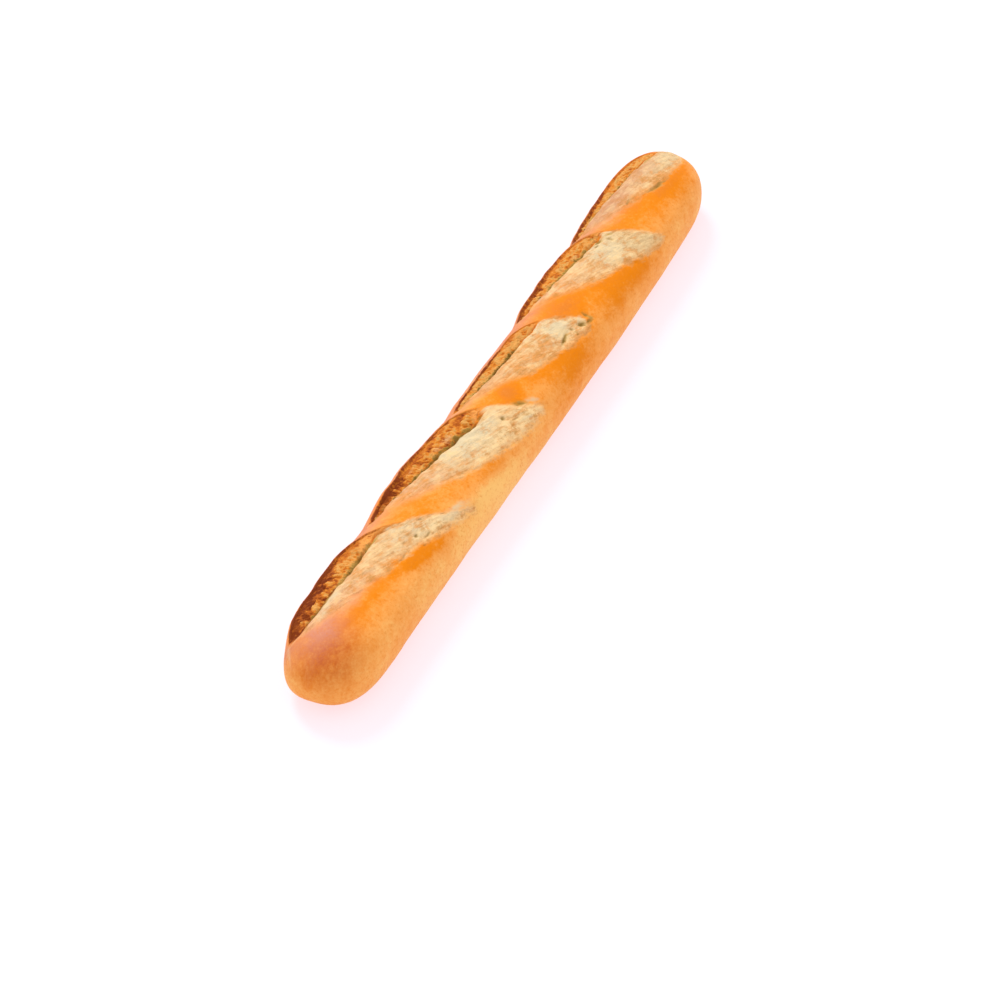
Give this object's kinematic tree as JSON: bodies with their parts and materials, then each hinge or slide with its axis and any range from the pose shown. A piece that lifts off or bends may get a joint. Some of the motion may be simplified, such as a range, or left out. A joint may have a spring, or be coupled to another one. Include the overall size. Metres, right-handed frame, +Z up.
{
  "type": "baguette",
  "caption": "Long crusty white loaf with rounded ends, a flat underside and slanting slashes that opened into lifted ears along its crown.",
  "frame": {"origin": "middle of the loaf's box, on the surface that it rests on", "axes": "+X along the loaf, from the end nearest the viewer to the far end; +Y towards the raised ears of the slashes; +Z up"},
  "size_m": [0.571, 0.065, 0.0455],
  "materials": {
    "crust": "golden to orange-brown baked crust, satin, with pale cream matt bands in the opened slashes"
  },
  "bodies": {
    "root": {"baguette": "crust"}
  },
  "joints": []
}
